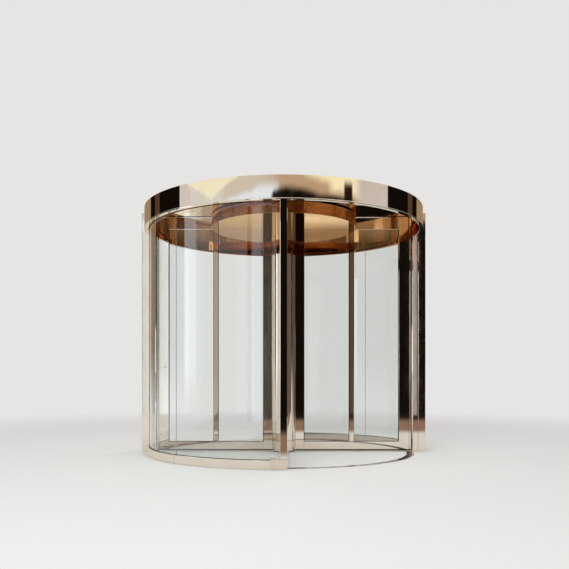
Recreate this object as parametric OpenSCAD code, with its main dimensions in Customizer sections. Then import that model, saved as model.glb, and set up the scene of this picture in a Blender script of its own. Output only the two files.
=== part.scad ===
// Four-wing revolving door with a turning disc, a round fascia and two curved glass walls.
// X runs from left to right, -Y is the outside, Z is up, and the origin is on the floor
// at the axis the wings turn about. All sizes are in millimetres.

/* [Fascia ring] */
// Outer radius of the fascia ring
drum_r = 1800; // [1600:10:2200]
// Clear height from the floor to the underside of the fascia
clear_h = 2860; // [2300:10:3200]
// Height of the fascia
fascia_h = 260; // [220:5:400]
// Depth of the fascia from its outer to its inner face
fascia_d = 55; // [40:1:70]
// Thickness of the fascia's metal skins
skin_t = 4; // [2:0.5:8]
// Height of the bright lip along the fascia's lower edge
lip_h = 12; // [6:1:30]
// How far the lip stands out from the fascia's face
lip_d = 4; // [2:0.5:10]

/* [Ceiling and roof] */
// Depth of the ceiling's underside below the top of the fascia
ceiling_drop = 45; // [35:1:60]
// Thickness of the ceiling panel
ceiling_t = 12; // [6:1:18]
// Thickness of the roof cover
roof_t = 6; // [3:0.5:10]
// Step from the top of the fascia down to the roof cover
roof_drop = 8; // [2:1:12]

/* [Curved glass walls] */
// Distance from the fascia's outer face to the middle of the curved glass
wall_inset = 75; // [72:1:90]
// Thickness of the curved glass
wall_glass_t = 12; // [8:1:16]
// Width of the rail under the curved glass
rail_w = 70; // [50:1:76]
// Height of the rail under the curved glass
rail_h = 100; // [60:1:110]
// Height of the channel over the curved glass
head_h = 40; // [25:1:60]
// Depth of the pockets that hold the curved glass
wall_pocket = 15; // [8:1:20]
// Joint between neighbouring curved panes and rails
pane_joint = 3; // [1:0.5:8]

/* [Posts and jambs] */
// Width of the drum posts along the wall
post_w = 78; // [60:1:110]
// Depth of the drum posts from inside to outside
post_d = 70; // [56:1:76]
// Bevel along the long edges of posts, jambs and stiles
bevel = 3; // [1:0.5:5]
// Length of the foot block from the post's middle along the wall
foot_l = 137; // [80:1:220]
// Height of the foot block
foot_h = 115; // [112:1:180]
// Width of the jambs on either side, which fasten the door to its opening
jamb_w = 95; // [60:1:140]
// Depth of the jambs from front to back
jamb_d = 100; // [80:1:150]
// Wall thickness of the hollow jambs
jamb_wall = 5; // [3:0.5:10]
// Radius of the fixing holes in the jambs
fix_r = 5.5; // [3:0.5:8]
// Spacing of the fixing holes from front to back
fix_y = 50; // [30:1:60]
// Height of the lower fixing holes
fix_low = 300; // [150:10:900]
// Height of the upper fixing holes
fix_high = 2700; // [1500:10:2800]

/* [Floor] */
// Gap between the floor ring and the inner faces of the posts
ring_gap = 7; // [6:0.5:30]
// Width of the floor ring
ring_w = 90; // [20:1:150]
// Thickness of the floor ring
ring_t = 3; // [2:0.5:4]
// Width of the lugs that tie the floor ring to the posts
lug_w = 40; // [20:1:60]
// Radius of the floor bearing's plate
bearing_r = 110; // [80:1:140]
// Thickness of the floor bearing's plate
bearing_t = 12; // [8:1:14]
// Height of the bearing's shoulder, where the column turns
shoulder_z = 20; // [16:0.5:24]
// Radius of the pivot pin
pin_r = 30; // [20:0.5:45]
// Length of the pivot pin over the shoulder
pin_h = 60; // [40:1:75]

/* [Column and turning disc] */
// Radius of the centre column
column_r = 150; // [120:1:200]
// Wall thickness of the centre column
column_wall = 6; // [4:0.5:12]
// Height of the plug in the column's foot
plug_h = 90; // [80:1:160]
// Radius of the turning disc
disc_r = 945; // [800:5:1100]
// Running gap between the turning disc and the ceiling
disc_gap = 15; // [12:1:24]
// Thickness of the disc's soffit plate
soffit_t = 12; // [12:0.5:18]
// Thickness of the disc's top plate
hub_t = 12; // [8:0.5:16]
// Radius of the top shaft
shaft_r = 45; // [30:0.5:60]
// Radius of the top bearing's sleeve
sleeve_r = 100; // [75:1:140]
// Radius of the top bearing's flange
flange_r = 220; // [160:1:300]

/* [Wings] */
// Thickness of the wing frames
wing_t = 50; // [36:1:70]
// Running gap between the wing brushes and the posts
wing_gap = 6; // [5:0.5:12]
// Width of the stile at the column
inner_stile_w = 116; // [60:1:160]
// Distance from the turning disc's edge to the middle stile's outer edge
mid_stile_inset = 25; // [15:1:120]
// Width of the middle stile
mid_stile_w = 60; // [40:1:90]
// Width of the outer stile's broad face
outer_stile_w = 132; // [80:1:180]
// Width of the groove beside the outer stile's edge bead
edge_groove = 13; // [6:1:20]
// Width of the outer stile's edge bead
edge_bead = 17; // [12:1:30]
// Gap from the floor up to the lower brush
floor_gap = 10; // [9:0.5:20]
// Length of the lower brush below the bottom rail
sweep_h = 20; // [12:1:30]
// Height of the bottom rail
bottom_rail_h = 100; // [60:1:160]
// Height of the top rail outside the turning disc
top_rail_h = 145; // [100:1:160]
// Gap between the top rail and the ceiling, closed by the upper brush
head_gap = 12; // [10:1:18]
// Length of the upper and outer brushes beyond the frame
brush_h = 6; // [3:0.5:8]
// Length of the outer brush beyond the edge bead
edge_brush_h = 12; // [6:1:20]
// Thickness of the brushes
brush_t = 12; // [6:1:18]
// Depth of the slots that hold the brushes
brush_slot = 8; // [5:0.5:12]
// Thickness of the wing glass
wing_glass_t = 10; // [6:1:14]
// Depth of the pockets that hold the wing glass in stiles and bottom rail
wing_pocket = 12; // [6:1:18]
// Depth of the slots that hold the wing glass in the disc and top rail
head_slot = 8; // [4:0.5:9]
// Radius of the lock on the left wing
lock_r = 13; // [8:0.5:20]
// How far the lock stands out from the stile
lock_proud = 4; // [2:0.5:8]
// Height of the lock over the floor
lock_z = 1108; // [700:5:1600]
// Distance from the outer stile's inner edge to the lock
lock_in = 49; // [30:1:80]

/* [Hidden] */
$fn = 180;

// Clearance between fixed pieces that seat on each other
seat = 0.3;
// Radial clearance of the turning fits
run = 0.05;
// Overshoot of cutting shapes past a face
over = 1;

// Directions in which the wings point at rest
RIGHT = 0;
BACK = 90;
LEFT = 180;
FRONT = 270;

// Heights worked out from the sizes above
fascia_top = clear_h + fascia_h;
ceiling_z = fascia_top - ceiling_drop;
disc_top = ceiling_z - disc_gap;
wing_top = ceiling_z - head_gap;
soffit_z = wing_top - top_rail_h;
wing_foot = floor_gap + sweep_h;
wing_sill = wing_foot + bottom_rail_h;
wall_glass_top = clear_h + wall_pocket - seat;
wall_glass_z = rail_h - wall_pocket + seat;

// Radii worked out from the sizes above
fascia_in = drum_r - fascia_d;
wall_r = drum_r - wall_inset;
post_in = wall_r - post_d / 2;
post_out = wall_r + post_d / 2;
ring_out = post_in - ring_gap;
brush_r = post_in - wing_gap;
bead_r = brush_r - edge_brush_h;
groove_r = bead_r - edge_bead;
outer_stile_out = groove_r - edge_groove;
outer_stile_in = outer_stile_out - outer_stile_w;
inner_stile_in = column_r + seat;
inner_stile_out = inner_stile_in + inner_stile_w;
mid_stile_out = disc_r - mid_stile_inset;
mid_stile_in = mid_stile_out - mid_stile_w;

metal = "#C9B49A";
bright = "#E4DCCB";
dark = "#3A332C";
glass = [0.82, 0.90, 0.90, 0.35];
bristle = "#1E1C1A";

// Part of a ring: a profile of [inner radius, z, width, height] turned from one angle to another
module ring_part(from, to, inner, z, width, height) {
    rotate([0, 0, from])
        rotate_extrude(angle = to - from)
            translate([inner, z])
                square([width, height]);
}

// Outline of a box with bevelled corners, its lower left corner at the origin
module bevelled(width, depth) {
    polygon([[bevel, 0], [width - bevel, 0], [width, bevel], [width, depth - bevel],
        [width - bevel, depth], [bevel, depth], [0, depth - bevel], [0, bevel]]);
}

// Upright bar from one radius to another, centred on the wing's or post's own plane
module upright(inner, outer, thickness, z0, z1) {
    translate([inner, -thickness / 2, z0])
        linear_extrude(z1 - z0)
            bevelled(outer - inner, thickness);
}

// Block from one radius to another, centred on the same plane
module block(inner, outer, thickness, z0, z1) {
    translate([inner, -thickness / 2, z0])
        cube([outer - inner, thickness, z1 - z0]);
}

// Fascia

// Section of the fascia: a hollow box beam with a lip along its lower edge
module fascia_section() {
    difference() {
        union() {
            translate([fascia_in, clear_h])
                square([fascia_d - lip_d, fascia_h]);
            translate([fascia_in, clear_h])
                square([fascia_d, lip_h]);
        }
        translate([fascia_in + skin_t, clear_h + lip_h])
            square([fascia_d - lip_d - 2 * skin_t, fascia_h - lip_h - skin_t]);
    }
}

// Half of the fascia on the +Y side, notched where the jambs pass through it
module fascia_half() {
    color(metal)
        difference() {
            rotate_extrude(angle = 180)
                fascia_section();
            for (side = [RIGHT, LEFT])
                rotate([0, 0, side])
                    block(post_out - seat, post_out + jamb_w + seat, jamb_d + 2 * seat,
                        clear_h - over, fascia_top + over);
        }
}

module fascia_front() { rotate([0, 0, 180]) fascia_half(); }
module fascia_back() { fascia_half(); }

// Ceiling, roof and top bearing

module ceiling() {
    color(metal)
        translate([0, 0, ceiling_z])
            difference() {
                cylinder(h = ceiling_t, r = fascia_in - seat);
                translate([0, 0, -over])
                    cylinder(h = ceiling_t + 2 * over, r = sleeve_r + seat);
            }
}

module roof_cover() {
    color(dark)
        translate([0, 0, fascia_top - roof_drop - roof_t])
            cylinder(h = roof_t, r = fascia_in - seat);
}

// Flanged bearing that hangs in the ceiling and guides the top shaft
module top_bearing() {
    flange_z = ceiling_z + ceiling_t;
    flange_top = fascia_top - roof_drop - roof_t;
    color(bright)
        difference() {
            union() {
                translate([0, 0, ceiling_z])
                    cylinder(h = ceiling_t, r = sleeve_r);
                translate([0, 0, flange_z])
                    cylinder(h = flange_top - flange_z, r = flange_r);
            }
            translate([0, 0, ceiling_z - over])
                cylinder(h = flange_top - ceiling_z + 2 * over, r = shaft_r + run);
        }
}

// Curved glass walls. Each is built for the quadrant from the left post to the front post,
// and turned by half a turn for the back wall.

// Slot that the curved glass needs in the posts and feet
module wall_slot() {
    ring_part(LEFT, FRONT, wall_r - wall_glass_t / 2 - seat, wall_glass_z - seat,
        wall_glass_t + 2 * seat, wall_glass_top - wall_glass_z + 2 * seat);
}

// Angle that a length along the wall covers at the glass
function wall_angle(length) = asin(length / wall_r);

glass_end = wall_angle(post_w / 2 - wall_pocket + seat);
half_joint = wall_angle(pane_joint / 2);
wall_mid = (LEFT + FRONT) / 2;

module wall_pane(from, to) {
    color(glass)
        ring_part(from, to, wall_r - wall_glass_t / 2, wall_glass_z,
            wall_glass_t, wall_glass_top - wall_glass_z);
}

module front_wall_pane_left() { wall_pane(LEFT + glass_end, wall_mid - half_joint); }
module front_wall_pane_right() { wall_pane(wall_mid + half_joint, FRONT - glass_end); }
module back_wall_pane_left() { rotate([0, 0, 180]) front_wall_pane_right(); }
module back_wall_pane_right() { rotate([0, 0, 180]) front_wall_pane_left(); }

// Base rail with the pocket the glass stands in, in two lengths with a joint between
module base_rail() {
    foot_end = FRONT - wall_angle(foot_l + seat);
    color(metal)
        difference() {
            union() {
                ring_part(LEFT, wall_mid - half_joint, wall_r - rail_w / 2, 0, rail_w, rail_h);
                ring_part(wall_mid + half_joint, foot_end, wall_r - rail_w / 2, 0, rail_w, rail_h);
            }
            wall_slot();
            rotate([0, 0, LEFT])
                block(post_in - seat - over, post_out + seat + over, post_w + 2 * seat,
                    -over, rail_h + over);
        }
}

module front_base_rail() { base_rail(); }
module back_base_rail() { rotate([0, 0, 180]) base_rail(); }

// Channel behind the fascia that holds the top of the glass
module head_channel() {
    channel_w = 2 * (fascia_in - seat - wall_r);
    color(metal)
        difference() {
            ring_part(LEFT, FRONT, wall_r - channel_w / 2, clear_h, channel_w, head_h);
            wall_slot();
        }
}

module front_head_channel() { head_channel(); }
module back_head_channel() { rotate([0, 0, 180]) head_channel(); }

// Posts, feet and jambs

// Post pointing in a direction, standing from a height to the fascia's underside
module post(direction, z0) {
    color(metal)
        difference() {
            rotate([0, 0, direction])
                upright(post_in, post_out, post_w, z0, clear_h);
            wall_slot();
        }
}

module front_post() { post(FRONT, foot_h); }
module back_post() { rotate([0, 0, 180]) post(FRONT, foot_h); }
module left_post() { post(LEFT, 0); }
module right_post() { rotate([0, 0, 180]) post(LEFT, 0); }

// Block under the free post, where the base rail ends
module foot() {
    color(bright)
        difference() {
            ring_part(FRONT - wall_angle(foot_l), FRONT + wall_angle(post_w / 2),
                post_in, 0, post_d + bevel, foot_h);
            wall_slot();
        }
}

module front_foot() { foot(); }
module back_foot() { rotate([0, 0, 180]) foot(); }

// Hollow jamb, closed at its top, with fixing holes in its outer wall
module jamb() {
    inner = post_out;
    outer = post_out + jamb_w;
    color(metal)
        difference() {
            upright(inner, outer, jamb_d, 0, fascia_top);
            block(inner + jamb_wall, outer - jamb_wall, jamb_d - 2 * jamb_wall,
                -over, fascia_top - jamb_wall);
            for (z = [fix_low, fix_high])
                for (y = [-fix_y / 2, fix_y / 2])
                    translate([outer - jamb_wall - over, y, z])
                        rotate([0, 90, 0])
                            cylinder(h = jamb_wall + 2 * over, r = fix_r, $fn = 48);
        }
}

module left_jamb() { rotate([0, 0, LEFT]) jamb(); }
module right_jamb() { jamb(); }

// Floor ring and bearing

module floor_ring() {
    color(bright)
        union() {
            ring_part(0, 360, ring_out - ring_w, 0, ring_w, ring_t);
            for (direction = [RIGHT, BACK, LEFT, FRONT])
                rotate([0, 0, direction])
                    block(ring_out - over, post_in - seat, lug_w, 0, ring_t);
        }
}

// Plate, shoulder and pin that the column stands on and turns about
module floor_bearing() {
    color(bright)
        rotate_extrude()
            polygon([[0, 0], [bearing_r, 0], [bearing_r, bearing_t], [pin_r + shoulder_z, bearing_t],
                [pin_r + shoulder_z, shoulder_z], [pin_r, shoulder_z],
                [pin_r, shoulder_z + pin_h], [0, shoulder_z + pin_h]]);
}

// Column and turning disc

// Tube with a bored plug in its foot
module column() {
    foot_z = shoulder_z + seat;
    bore_top = shoulder_z + pin_h + over;
    plug_top = foot_z + plug_h;
    top = disc_top - hub_t - seat;
    color(metal)
        rotate_extrude()
            polygon([[pin_r + run, foot_z], [column_r, foot_z], [column_r, top],
                [column_r - column_wall, top], [column_r - column_wall, plug_top],
                [0, plug_top], [0, bore_top], [pin_r + run, bore_top]]);
}

// Slots for the tops of the wing glass, in the disc's plate and rim
module disc_slots() {
    for (direction = [RIGHT, BACK, LEFT, FRONT])
        rotate([0, 0, direction])
            block(inner_stile_out - wing_pocket, disc_r + over, wing_glass_t + 2 * seat,
                soffit_z - over, soffit_z + head_slot);
}

module disc_rim() {
    color(metal)
        difference() {
            ring_part(0, 360, disc_r - skin_t, soffit_z, skin_t, disc_top - soffit_z);
            disc_slots();
        }
}

module disc_soffit() {
    color(metal)
        difference() {
            ring_part(0, 360, column_r + seat, soffit_z,
                disc_r - skin_t - column_r - 2 * seat, soffit_t);
            disc_slots();
        }
}

// Top plate of the disc with the shaft that the drive turns
module drive_hub() {
    shaft_top = fascia_top - roof_drop - roof_t - over;
    color(metal)
        union() {
            translate([0, 0, disc_top - hub_t])
                cylinder(h = hub_t, r = disc_r - skin_t - seat);
            translate([0, 0, disc_top - hub_t])
                cylinder(h = shaft_top - disc_top + hub_t, r = shaft_r);
        }
}

// Wings. Each is built along +X and turned to its direction.

// Brush that seals the bottom, the outer edge and the top, grown by a clearance
module brush_frame(clearance) {
    t = brush_t + 2 * clearance;
    edge_in = bead_r - brush_slot - clearance;
    top = wing_top + brush_h;
    block(inner_stile_in + bevel, brush_r, t, floor_gap, wing_foot + brush_slot + clearance);
    block(edge_in, brush_r, t, floor_gap, top);
    block(disc_r + 2 * seat, brush_r, t, wing_top - brush_slot - clearance, top);
}

// Panes of one wing, grown by a clearance
module pane_pair(clearance) {
    t = wing_glass_t + 2 * clearance;
    reach = wing_pocket - seat + clearance;
    z0 = wing_sill - wing_pocket + seat - clearance;
    z1 = soffit_z + head_slot - seat + clearance;
    block(inner_stile_out - reach, mid_stile_in + reach, t, z0, z1);
    block(mid_stile_out - reach, outer_stile_in + reach, t, z0, z1);
}

// Outer stile's outline: broad face, groove and edge bead
module outer_stile_outline() {
    neck_t = brush_t + 2 * bevel;
    translate([outer_stile_in, -wing_t / 2])
        bevelled(outer_stile_w, wing_t);
    translate([outer_stile_out - bevel, -neck_t / 2])
        square([edge_groove + 2 * bevel, neck_t]);
    translate([groove_r, -wing_t / 2])
        bevelled(edge_bead, wing_t);
}

module wing_stiles(direction) {
    color(metal)
        rotate([0, 0, direction])
            difference() {
                union() {
                    upright(inner_stile_in, inner_stile_out, wing_t, wing_foot, soffit_z - seat);
                    upright(mid_stile_in, mid_stile_out, wing_t, wing_sill, soffit_z - seat);
                    translate([0, 0, wing_foot])
                        linear_extrude(wing_top - wing_foot)
                            outer_stile_outline();
                }
                pane_pair(seat);
                brush_frame(seat);
                if (direction == LEFT)
                    lock_barrel(seat);
            }
}

module wing_rails(direction) {
    top_in = disc_r + 2 * seat;
    color(metal)
        rotate([0, 0, direction])
            difference() {
                union() {
                    block(inner_stile_out, outer_stile_in, wing_t - 2 * seat, wing_foot, wing_sill);
                    block(top_in, outer_stile_in, wing_t - 2 * seat, soffit_z, wing_top);
                }
                pane_pair(seat);
                brush_frame(seat);
            }
}

module wing_glass(direction) {
    color(glass)
        rotate([0, 0, direction])
            pane_pair(0);
}

module wing_brushes(direction) {
    color(bristle)
        rotate([0, 0, direction])
            brush_frame(0);
}

// Barrel of the lock, through the outer stile, grown by a clearance
module lock_barrel(clearance) {
    length = wing_t + 2 * lock_proud;
    translate([outer_stile_in + lock_in, length / 2, lock_z])
        rotate([90, 0, 0])
            cylinder(h = length, r = lock_r + clearance, $fn = 48);
}

module wing_lock() {
    color(bright)
        rotate([0, 0, LEFT])
            lock_barrel(0);
}

module front_wing_stiles() { wing_stiles(FRONT); }
module front_wing_rails() { wing_rails(FRONT); }
module front_wing_glass() { wing_glass(FRONT); }
module front_wing_brushes() { wing_brushes(FRONT); }
module back_wing_stiles() { wing_stiles(BACK); }
module back_wing_rails() { wing_rails(BACK); }
module back_wing_glass() { wing_glass(BACK); }
module back_wing_brushes() { wing_brushes(BACK); }
module left_wing_stiles() { wing_stiles(LEFT); }
module left_wing_rails() { wing_rails(LEFT); }
module left_wing_glass() { wing_glass(LEFT); }
module left_wing_brushes() { wing_brushes(LEFT); }
module right_wing_stiles() { wing_stiles(RIGHT); }
module right_wing_rails() { wing_rails(RIGHT); }
module right_wing_glass() { wing_glass(RIGHT); }
module right_wing_brushes() { wing_brushes(RIGHT); }

fascia_front();
fascia_back();
ceiling();
roof_cover();
top_bearing();
front_wall_pane_left();
front_wall_pane_right();
back_wall_pane_left();
back_wall_pane_right();
front_base_rail();
back_base_rail();
front_head_channel();
back_head_channel();
front_post();
back_post();
left_post();
right_post();
front_foot();
back_foot();
left_jamb();
right_jamb();
floor_ring();
floor_bearing();
column();
disc_rim();
disc_soffit();
drive_hub();
front_wing_stiles();
front_wing_rails();
front_wing_glass();
front_wing_brushes();
back_wing_stiles();
back_wing_rails();
back_wing_glass();
back_wing_brushes();
left_wing_stiles();
left_wing_rails();
left_wing_glass();
left_wing_brushes();
right_wing_stiles();
right_wing_rails();
right_wing_glass();
right_wing_brushes();
wing_lock();
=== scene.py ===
# A revolving door of mirror-polished champagne steel and clear glass, dressed piece by piece
# from the floor up. X runs from left to right, -Y is the outside, Z is up, and the origin is on
# the floor at the axis the wings turn about. Lengths are in metres and angles in degrees.
import math

import bmesh
import bpy
from mathutils import Matrix, Vector


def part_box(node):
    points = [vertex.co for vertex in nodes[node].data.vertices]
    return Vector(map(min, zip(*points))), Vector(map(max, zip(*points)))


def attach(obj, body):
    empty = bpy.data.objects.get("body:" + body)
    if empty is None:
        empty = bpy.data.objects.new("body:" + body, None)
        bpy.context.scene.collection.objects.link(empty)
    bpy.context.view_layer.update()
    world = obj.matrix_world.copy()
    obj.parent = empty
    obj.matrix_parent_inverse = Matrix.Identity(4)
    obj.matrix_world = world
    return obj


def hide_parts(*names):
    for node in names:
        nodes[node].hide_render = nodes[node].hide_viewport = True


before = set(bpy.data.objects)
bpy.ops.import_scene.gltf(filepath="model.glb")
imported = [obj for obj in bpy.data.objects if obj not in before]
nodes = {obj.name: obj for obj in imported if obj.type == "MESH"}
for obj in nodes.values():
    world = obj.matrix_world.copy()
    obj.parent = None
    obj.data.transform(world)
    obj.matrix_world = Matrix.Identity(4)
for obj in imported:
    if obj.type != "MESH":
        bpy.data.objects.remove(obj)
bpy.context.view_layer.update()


# Floor ring and floor bearing
# The ring is a flat band of satin stainless steel, screwed to the floor under the wings' brushes.
# Four lugs tie it to the posts. The bearing under the column is turned from the same steel.

def linear(hex_colour):
    """An sRGB hex colour as the linear colour that shaders work in, with full alpha."""
    parts = [int(hex_colour[i:i + 2], 16) / 255 for i in (1, 3, 5)]
    return [c / 12.92 if c <= 0.04045 else ((c + 0.055) / 1.055) ** 2.4 for c in parts] + [1.0]


def add_node(tree, kind, values=None, links=None, **settings):
    """Adds a node with its settings, its sockets' values and the sockets that feed it."""
    node = tree.nodes.new(kind)
    for name, value in settings.items():
        setattr(node, name, value)
    for socket, value in (values or {}).items():
        node.inputs[socket].default_value = value
    for socket, source in (links or {}).items():
        tree.links.new(source, node.inputs[socket])
    return node


def new_material(name):
    """An empty material and its node tree."""
    material = bpy.data.materials.new(name)
    material.use_nodes = True
    material.node_tree.nodes.clear()
    return material, material.node_tree


def stretched_noise(tree, scale_mm, stretch=(1, 1, 1), detail=3.0, rough=0.5):
    """Noise on object coordinates whose features are about scale_mm apart, drawn out by stretch."""
    place = add_node(tree, "ShaderNodeTexCoord")
    squeeze = add_node(tree, "ShaderNodeMapping",
                       {"Scale": tuple(1 / s for s in stretch)}, {"Vector": place.outputs["Object"]})
    return add_node(tree, "ShaderNodeTexNoise",
                    {"Scale": 1000 / scale_mm, "Detail": detail, "Roughness": rough},
                    {"Vector": squeeze.outputs[0]})


def polished_steel(name, pale, deep, edge, roughness=(0.02, 0.06), wave_mm=0.12, strokes_mm=0.0):
    """Polished steel with a thin coloured coating, whose edge colour shows at glancing angles.
    Rolling and polishing leave the sheet faintly wavy, and wiping leaves clouds of slightly
    duller shine. Strokes are the upright marks of the bending rolls."""
    material, tree = new_material(name)
    clouds = stretched_noise(tree, 260, (1, 1, 1.6), 4.0, 0.6)
    cloud_share = add_node(tree, "ShaderNodeMapRange", {"From Min": 0.3, "From Max": 0.7},
                           {"Value": clouds.outputs[0]})
    colour = add_node(tree, "ShaderNodeMix", {"A": linear(pale), "B": linear(deep)},
                      {"Factor": cloud_share.outputs["Result"]}, data_type="RGBA")
    smears = stretched_noise(tree, 70, (1, 1, 3), 5.0, 0.65)
    dullness = add_node(tree, "ShaderNodeMapRange",
                        {"From Min": 0.3, "From Max": 0.7, "To Min": roughness[0],
                         "To Max": roughness[1]}, {"Value": smears.outputs[0]})
    ripples = stretched_noise(tree, 620, (1, 1, 1.8), 1.0, 0.4)
    bump = add_node(tree, "ShaderNodeBump", {"Strength": 1.0, "Distance": wave_mm / 1000},
                    {"Height": ripples.outputs[0]})
    if strokes_mm:
        rolls = stretched_noise(tree, 38, (1, 1, 14), 2.0, 0.6)
        bump = add_node(tree, "ShaderNodeBump", {"Strength": 1.0, "Distance": strokes_mm / 1000},
                        {"Height": rolls.outputs[0], "Normal": bump.outputs[0]})
    steel = add_node(tree, "ShaderNodeBsdfPrincipled", {"Metallic": 1.0, "Specular Tint": linear(edge)},
                     {"Base Color": colour.outputs["Result"], "Roughness": dullness.outputs["Result"],
                      "Normal": bump.outputs[0]})
    add_node(tree, "ShaderNodeOutputMaterial", links={"Surface": steel.outputs[0]})
    return material


def turned_steel(name, pale, deep):
    """Stainless steel finished on a lathe or a ring roller, with fine lines that run round the
    door's axis. They are drawn 3 mm apart, because finer ones would not show."""
    material, tree = new_material(name)
    place = add_node(tree, "ShaderNodeTexCoord")
    flat = add_node(tree, "ShaderNodeVectorMath", {1: (1, 1, 0)}, {0: place.outputs["Object"]},
                    operation="MULTIPLY")
    from_axis = add_node(tree, "ShaderNodeVectorMath", {}, {0: flat.outputs[0]}, operation="LENGTH")
    lines = add_node(tree, "ShaderNodeTexNoise", {"Scale": 1000 / 3, "Detail": 3.0},
                     {"W": from_axis.outputs["Value"]}, noise_dimensions="1D")
    scuffs = stretched_noise(tree, 90, (1, 1, 1), 5.0, 0.65)
    dullness = add_node(tree, "ShaderNodeMapRange",
                        {"From Min": 0.3, "From Max": 0.7, "To Min": 0.2, "To Max": 0.3},
                        {"Value": scuffs.outputs[0]})
    colour = add_node(tree, "ShaderNodeMix", {"A": linear(pale), "B": linear(deep)},
                      {"Factor": lines.outputs[0]}, data_type="RGBA")
    bump = add_node(tree, "ShaderNodeBump", {"Strength": 0.3, "Distance": 0.00005},
                    {"Height": lines.outputs[0]})
    steel = add_node(tree, "ShaderNodeBsdfPrincipled", {"Metallic": 1.0},
                     {"Base Color": colour.outputs["Result"], "Roughness": dullness.outputs["Result"],
                      "Normal": bump.outputs[0]})
    add_node(tree, "ShaderNodeOutputMaterial", links={"Surface": steel.outputs[0]})
    return material


def band(inner, outer, low, high):
    """The closed outline of a plain band between two radii and two heights."""
    return [(inner, low), (outer, low), (outer, high), (inner, high)]


def softened(outline, radius, steps=3):
    """Rounds the corners of a closed outline of (across, up) points by a radius, or by nearly
    half of a side that is too short for it."""
    rounded = []
    for i, corner in enumerate(outline):
        here = Vector(corner)
        before = Vector(outline[i - 1]) - here
        after = Vector(outline[(i + 1) % len(outline)]) - here
        reach = min(radius, before.length * 0.45, after.length * 0.45)
        start = here + before.normalized() * reach
        stop = here + after.normalized() * reach
        for k in range(steps + 1):
            t = k / steps
            rounded.append(tuple(start * (1 - t) ** 2 + here * 2 * t * (1 - t) + stop * t ** 2))
    return rounded


def plain(piece):
    """Swaps a piece's mesh for what its modifiers make of it, and takes the modifiers off."""
    graph = bpy.context.evaluated_depsgraph_get()
    made = bpy.data.meshes.new_from_object(piece.evaluated_get(graph))
    piece.modifiers.clear()
    piece.data = made
    return piece


def finished(name, build, materials, smooth_under=40):
    """Makes a piece from a bmesh, with its faces outwards and its broad faces shaded flat."""
    bmesh.ops.remove_doubles(build, verts=build.verts, dist=1e-6)
    bmesh.ops.recalc_face_normals(build, faces=build.faces)
    mesh = bpy.data.meshes.new(name)
    build.to_mesh(mesh)
    build.free()
    for material in materials:
        mesh.materials.append(material)
    mesh.shade_smooth()
    mesh.set_sharp_from_angle(angle=math.radians(smooth_under))
    piece = bpy.data.objects.new(name, mesh)
    bpy.context.scene.collection.objects.link(piece)
    even = piece.modifiers.new("even_shading", "WEIGHTED_NORMAL")
    even.keep_sharp = True
    even.weight = 100
    return plain(piece)


def turn(build, outline, start=0.0, stop=360.0, step=1.0, finish=0):
    """Turns a closed outline of (radius, height) points about the Z axis between two angles.
    The finish is the place of its material in the piece's list."""
    whole = stop - start >= 360
    count = max(2, round((stop - start) / step))
    rings = []
    for i in range(count if whole else count + 1):
        a = math.radians(start + (stop - start) * i / count)
        rings.append([build.verts.new((r * math.cos(a), r * math.sin(a), z)) for r, z in outline])
    following = rings[1:] + rings[:1] if whole else rings[1:]
    for here, there in zip(rings, following):
        for k in range(len(outline)):
            m = (k + 1) % len(outline)
            if (outline[k][0], outline[m][0]) == (0, 0):
                continue
            corners = [here[k], there[k], there[m], here[m]]
            if outline[k][0] == 0:
                corners.remove(there[k])
            if outline[m][0] == 0:
                corners.remove(there[m])
            build.faces.new(corners).material_index = finish
    if not whole:
        for end in (rings[0], rings[-1]):
            build.faces.new(end).material_index = finish


def bar(build, low, high, direction=0.0, edge=0.0, finish=0):
    """Adds a straight bar between two corners, its edges eased, turned to a direction."""
    made = bmesh.ops.create_cube(build, size=1.0)["verts"]
    size = [h - l for l, h in zip(low, high)]
    middle = [(h + l) / 2 for l, h in zip(low, high)]
    placed = Matrix.Translation(middle) @ Matrix.Diagonal((*size, 1))
    bmesh.ops.transform(build, verts=made, matrix=placed)
    faces = {f for v in made for f in v.link_faces}
    for f in faces:
        f.material_index = finish
    if edge:
        edges = list({e for f in faces for e in f.edges})
        made = bmesh.ops.bevel(build, geom=edges, offset=edge, segments=2, profile=0.5,
                               affect="EDGES", material=finish)["verts"]
    turned = Matrix.Rotation(math.radians(direction), 4, "Z")
    bmesh.ops.transform(build, verts=made, matrix=turned)


# Ground with a fine belt, so that it shines softly and mirrors only blurred shapes
ring_steel = turned_steel("satin stainless steel band", "#F2EFEA", "#D8D3CB")
# Stainless screws and turned parts as they come, a shade greyer than the band
satin_steel = polished_steel("satin stainless steel", "#E6E2DB", "#D4CEC4", "#FFFFFF",
                             roughness=(0.2, 0.32), wave_mm=0.05)
SIDES = {"right": 0, "back": 90, "left": 180, "front": 270}
post_in = -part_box("front_post")[1].y
ring_width, ring_gap, ring_top = 0.090, 0.007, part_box("floor_ring")[1].z
ring_out = post_in - ring_gap
lug_width, lug_lap = 0.040, 0.001
# Fixed pieces that meet keep a gap too fine to see
hairline = 0.0003
build = bmesh.new()
turn(build, softened(band(ring_out - ring_width, ring_out, 0, ring_top), radius=0.001))
for angle in SIDES.values():
    bar(build, (ring_out - lug_lap, -lug_width / 2, 0),
        (post_in - hairline, lug_width / 2, ring_top), angle)
floor_ring = finished("floor_ring_bar", build, [ring_steel])
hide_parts("floor_ring")
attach(floor_ring, "drum")


def node_tree(name, inputs):
    """An empty geometry tree with named inputs, and its input and output nodes."""
    tree = bpy.data.node_groups.new(name, "GeometryNodeTree")
    for label, kind in inputs.items():
        tree.interface.new_socket(label, in_out="INPUT", socket_type=kind)
    tree.interface.new_socket("Geometry", in_out="OUTPUT", socket_type="NodeSocketGeometry")
    return tree, tree.nodes.new("NodeGroupInput").outputs, tree.nodes.new("NodeGroupOutput")


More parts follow.
